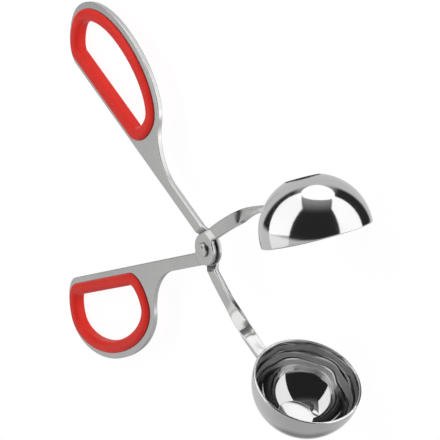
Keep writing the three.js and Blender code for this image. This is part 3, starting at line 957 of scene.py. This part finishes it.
def bowlMesh(material):
    mesh = turnedMesh("bowlSection", bowlSection(), bowlSizes["turnSteps"], material)
    way = mesh.attributes.new("ringWay", "FLOAT", "POINT")  # millimetres from the pole along the wall
    wall = mesh.attributes.new("insideWall", "FLOAT", "POINT")
    hollow = mesh.attributes.new("hollow", "FLOAT", "POINT")
    middle = bowlSizes["radius"] - bowlSizes["wall"] / 2
    pole = bowlSizes["poleFlat"] / 2
    for i, vert in enumerate(mesh.vertices):
        out, up = math.hypot(vert.co.x, vert.co.y), vert.co.z - bowlSizes["skirt"]
        fromCentre = math.hypot(out, max(up, 0.0))
        way.data[i].value = out if out < pole else middle * math.atan2(out, up)
        inside = fromCentre < middle
        wall.data[i].value = 1.0 if inside else 0.0
        # Painted shade on the outside, in the corner round the pressed-in pole
        if out < pole and not inside:
            hollow.data[i].value = smoothStep(pole - out, *bowlSizes["stepShade"])
    roll = Matrix.Rotation(math.radians(90 - strapSizes["twist"]), 4, "X")
    # The section's axis is Z here; in the arm the bowl's axis is Y
    stand = Matrix.Rotation(math.pi / 2, 4, "X").inverted()
    mesh.transform(Matrix.Translation((bowlSizes["distance"], 0, 0)) @ roll @ stand)
    return mesh


bowlShape = bowlMesh(bowlSteel)
upperBowl = addPiece("upperBowl", bowlShape.copy(), bowlSteel, frontPlace)
lowerBowl = addPiece("lowerBowl", bowlShape.copy(), bowlSteel, rearPlace)
for piece, body, node in ((upperBowl, "front", "upper_bowl"), (lowerBowl, "rear", "lower_bowl")):
    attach(piece, body)
    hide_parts(node)
print("stage: bowls turned")


# Rivet: shank, two low domed heads, a dimple from the punch in the front one

rivetSizes = {
    "shankRadius": 2.0, "headRadius": 3.1, "headHeight": 0.95, "edgeHeight": 0.85, "edgeRound": 0.3,
    "seatGaps": 1.5,  # half the gap between the ears, and a whole one under the head
    "dimpleAt": (0.7, 1.2), "dimpleRadius": 0.85, "dimpleDepth": 0.3,
    "dimpleSlope": (0.0, 0.9), "dimpleShade": (0.1, 0.6),  # shares of its radius, inward
    "crownSteps": 10, "edgeSteps": 8, "turnSteps": 72, "smoothAngle": 40.0,
}


def rivetSection():
    r = rivetSizes
    seat = armSizes["thickness"] + r["seatGaps"] * armSizes["earGap"]
    top = seat + r["headHeight"]
    rollStart = r["headRadius"] - r["edgeRound"]

    def crown(radius):
        height = top - (r["headHeight"] - r["edgeHeight"]) * (radius / r["headRadius"]) ** 2
        rolled = max(radius - rollStart, 0.0)
        return height - r["edgeRound"] + math.sqrt(max(r["edgeRound"] ** 2 - rolled ** 2, 0.0))

    radii = spread(0, rollStart, r["crownSteps"]) + spread(rollStart, r["headRadius"], r["edgeSteps"])[1:]
    rear = [(radius, -crown(radius)) for radius in radii]
    front = [(radius, -height) for radius, height in reversed(rear)]
    underRear = [(r["headRadius"], -seat), (r["shankRadius"], -seat)]
    underFront = [(r["shankRadius"], seat), (r["headRadius"], seat)]
    return rear + underRear + underFront + front


def punchDimple(mesh):
    # Struck a little off the middle of the front head, with painted shade inside
    r = rivetSizes
    hollow = mesh.attributes.new("hollow", "FLOAT", "POINT")
    for i, vert in enumerate(mesh.vertices):
        away = (vert.co.xy - Vector(r["dimpleAt"])).length / r["dimpleRadius"]
        if vert.co.z > armSizes["thickness"] + r["edgeHeight"] and away < 1:
            vert.co.z -= r["dimpleDepth"] * smoothStep(1 - away, *r["dimpleSlope"])
            hollow.data[i].value = smoothStep(1 - away, *r["dimpleShade"])


rivetShape = turnedMesh("rivetSection", rivetSection(), rivetSizes["turnSteps"], rivetSteel)
punchDimple(rivetShape)
pivotRivet = addPiece("pivotRivet", rivetShape, rivetSteel, frontPlace)
finishMesh(pivotRivet, rivetSizes["smoothAngle"])
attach(pivotRivet, "front")
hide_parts("pivot_rivet")
print("stage: rivet turned")


# Grips: a grooved section drawn round the loop

gripSizes = {
    "inset": 2.8, "width": 5.8, "depth": 6.6, "lipRound": 2.1, "boreRound": 2.2, "slotGap": 0.03,
    "roundSteps": 9, "quarterSteps": 56, "knitWithin": 0.001,
    "footShade": (0.1, 1.1),  # heights above the steel
}


def gripTree():
    corners = ["Corner %d %s" % (number, part) for number in range(1, 5) for part in ("Centre", "Size")]
    tree, given, ids = newTree("ringDrawnRoundLoop", {
        **dict.fromkeys(corners, "NodeSocketVector"),
        "Quarter Steps": "NodeSocketInt", "Material": "NodeSocketMaterial",
    })
    join = addNode(tree, "GeometryNodeJoinGeometry")
    for quarter in range(4):
        arc = addNode(tree, "GeometryNodeCurveArc", {
            "Resolution": given["Quarter Steps"], "Radius": 1.0,
            "Start Angle": (quarter - 1) * math.pi / 2, "Sweep Angle": math.pi / 2,
        })
        placed = addNode(tree, "GeometryNodeTransform", {
            "Geometry": arc.outputs["Curve"],
            "Translation": given["Corner %d Centre" % (quarter + 1)],
            "Scale": given["Corner %d Size" % (quarter + 1)],
        })
        tree.links.new(placed.outputs[0], join.inputs[0])
    wires = addNode(tree, "GeometryNodeCurveToMesh", {"Curve": join.outputs[0]})
    knitting = {"Geometry": wires.outputs[0], "Distance": gripSizes["knitWithin"]}
    knit = addNode(tree, "GeometryNodeMergeByDistance", knitting)
    track = addNode(tree, "GeometryNodeMeshToCurve", {"Mesh": knit.outputs[0]})
    closed = addNode(tree, "GeometryNodeSetSplineCyclic", {"Geometry": track.outputs[0], "Cyclic": True})
    sweepSection(tree, given, closed.outputs[0])
    return tree, ids


def gripSection():
    # First axis inward from the loop's outline, second through the depth
    g = gripSizes
    slot = armSizes["thickness"] / 2 + g["slotGap"]
    slotBottom = armSizes["bandWidth"] + g["slotGap"]
    bore, top = g["inset"] + g["width"], g["depth"] / 2
    half = [(slotBottom, slot), (g["inset"] + g["lipRound"] / 2, slot)]
    lip = (g["inset"] + g["lipRound"], top - g["lipRound"])
    half += arcPoints(lip, g["lipRound"], math.pi, math.pi / 2, g["roundSteps"])
    mouth = (bore - g["boreRound"], top - g["boreRound"])
    half += arcPoints(mouth, g["boreRound"], math.pi / 2, 0, g["roundSteps"])
    return half + [(inward, -height) for inward, height in reversed(half)]


def shadeSeat(mesh):
    # Painted shade: the lip's foot, on the side away from the opening, is darkened where it lies on the steel
    s = armSizes
    middle = Vector((s["reach"] - s["loopLength"] / 2, s["innerEdge"] + s["loopWidth"] / 2))
    footShadow = mesh.attributes.new("lipFootShade", "FLOAT", "POINT")
    for i, vert in enumerate(mesh.vertices):
        if (vert.co.xy - middle).dot(vert.normal.xy) > 0:
            height = abs(vert.co.z) - s["thickness"] / 2
            footShadow.data[i].value = 1 - smoothStep(height, *gripSizes["footShade"])


def gripMesh(material):
    tree, ids = gripTree()
    values = {"Quarter Steps": gripSizes["quarterSteps"], "Material": material}
    for number, (centre, size) in enumerate(loopQuarters(), 1):
        values["Corner %d Centre" % number] = (centre.x, centre.y, 0.0)
        values["Corner %d Size" % number] = (size.x, size.y, 1.0)
    mesh = runTree(sectionCurve("gripSection", gripSection(), True), tree, ids, values)
    shadeSeat(mesh)
    mesh.transform(Matrix.Rotation(math.pi + math.radians(armSizes["splay"]), 4, "Z"))
    return mesh


gripShape = gripMesh(gripRed)
lowerGrip = addPiece("lowerGrip", gripShape.copy(), gripRed, frontPlace)
upperGrip = addPiece("upperGrip", gripShape.copy(), gripRed, rearPlace)
for piece, body, node in ((lowerGrip, "front", "lower_grip"), (upperGrip, "rear", "upper_grip")):
    finishMesh(piece)
    piece.visible_glossy = False  # no red shows in the photograph's steel
    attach(piece, body)
    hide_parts(node)
print("stage: grips drawn")
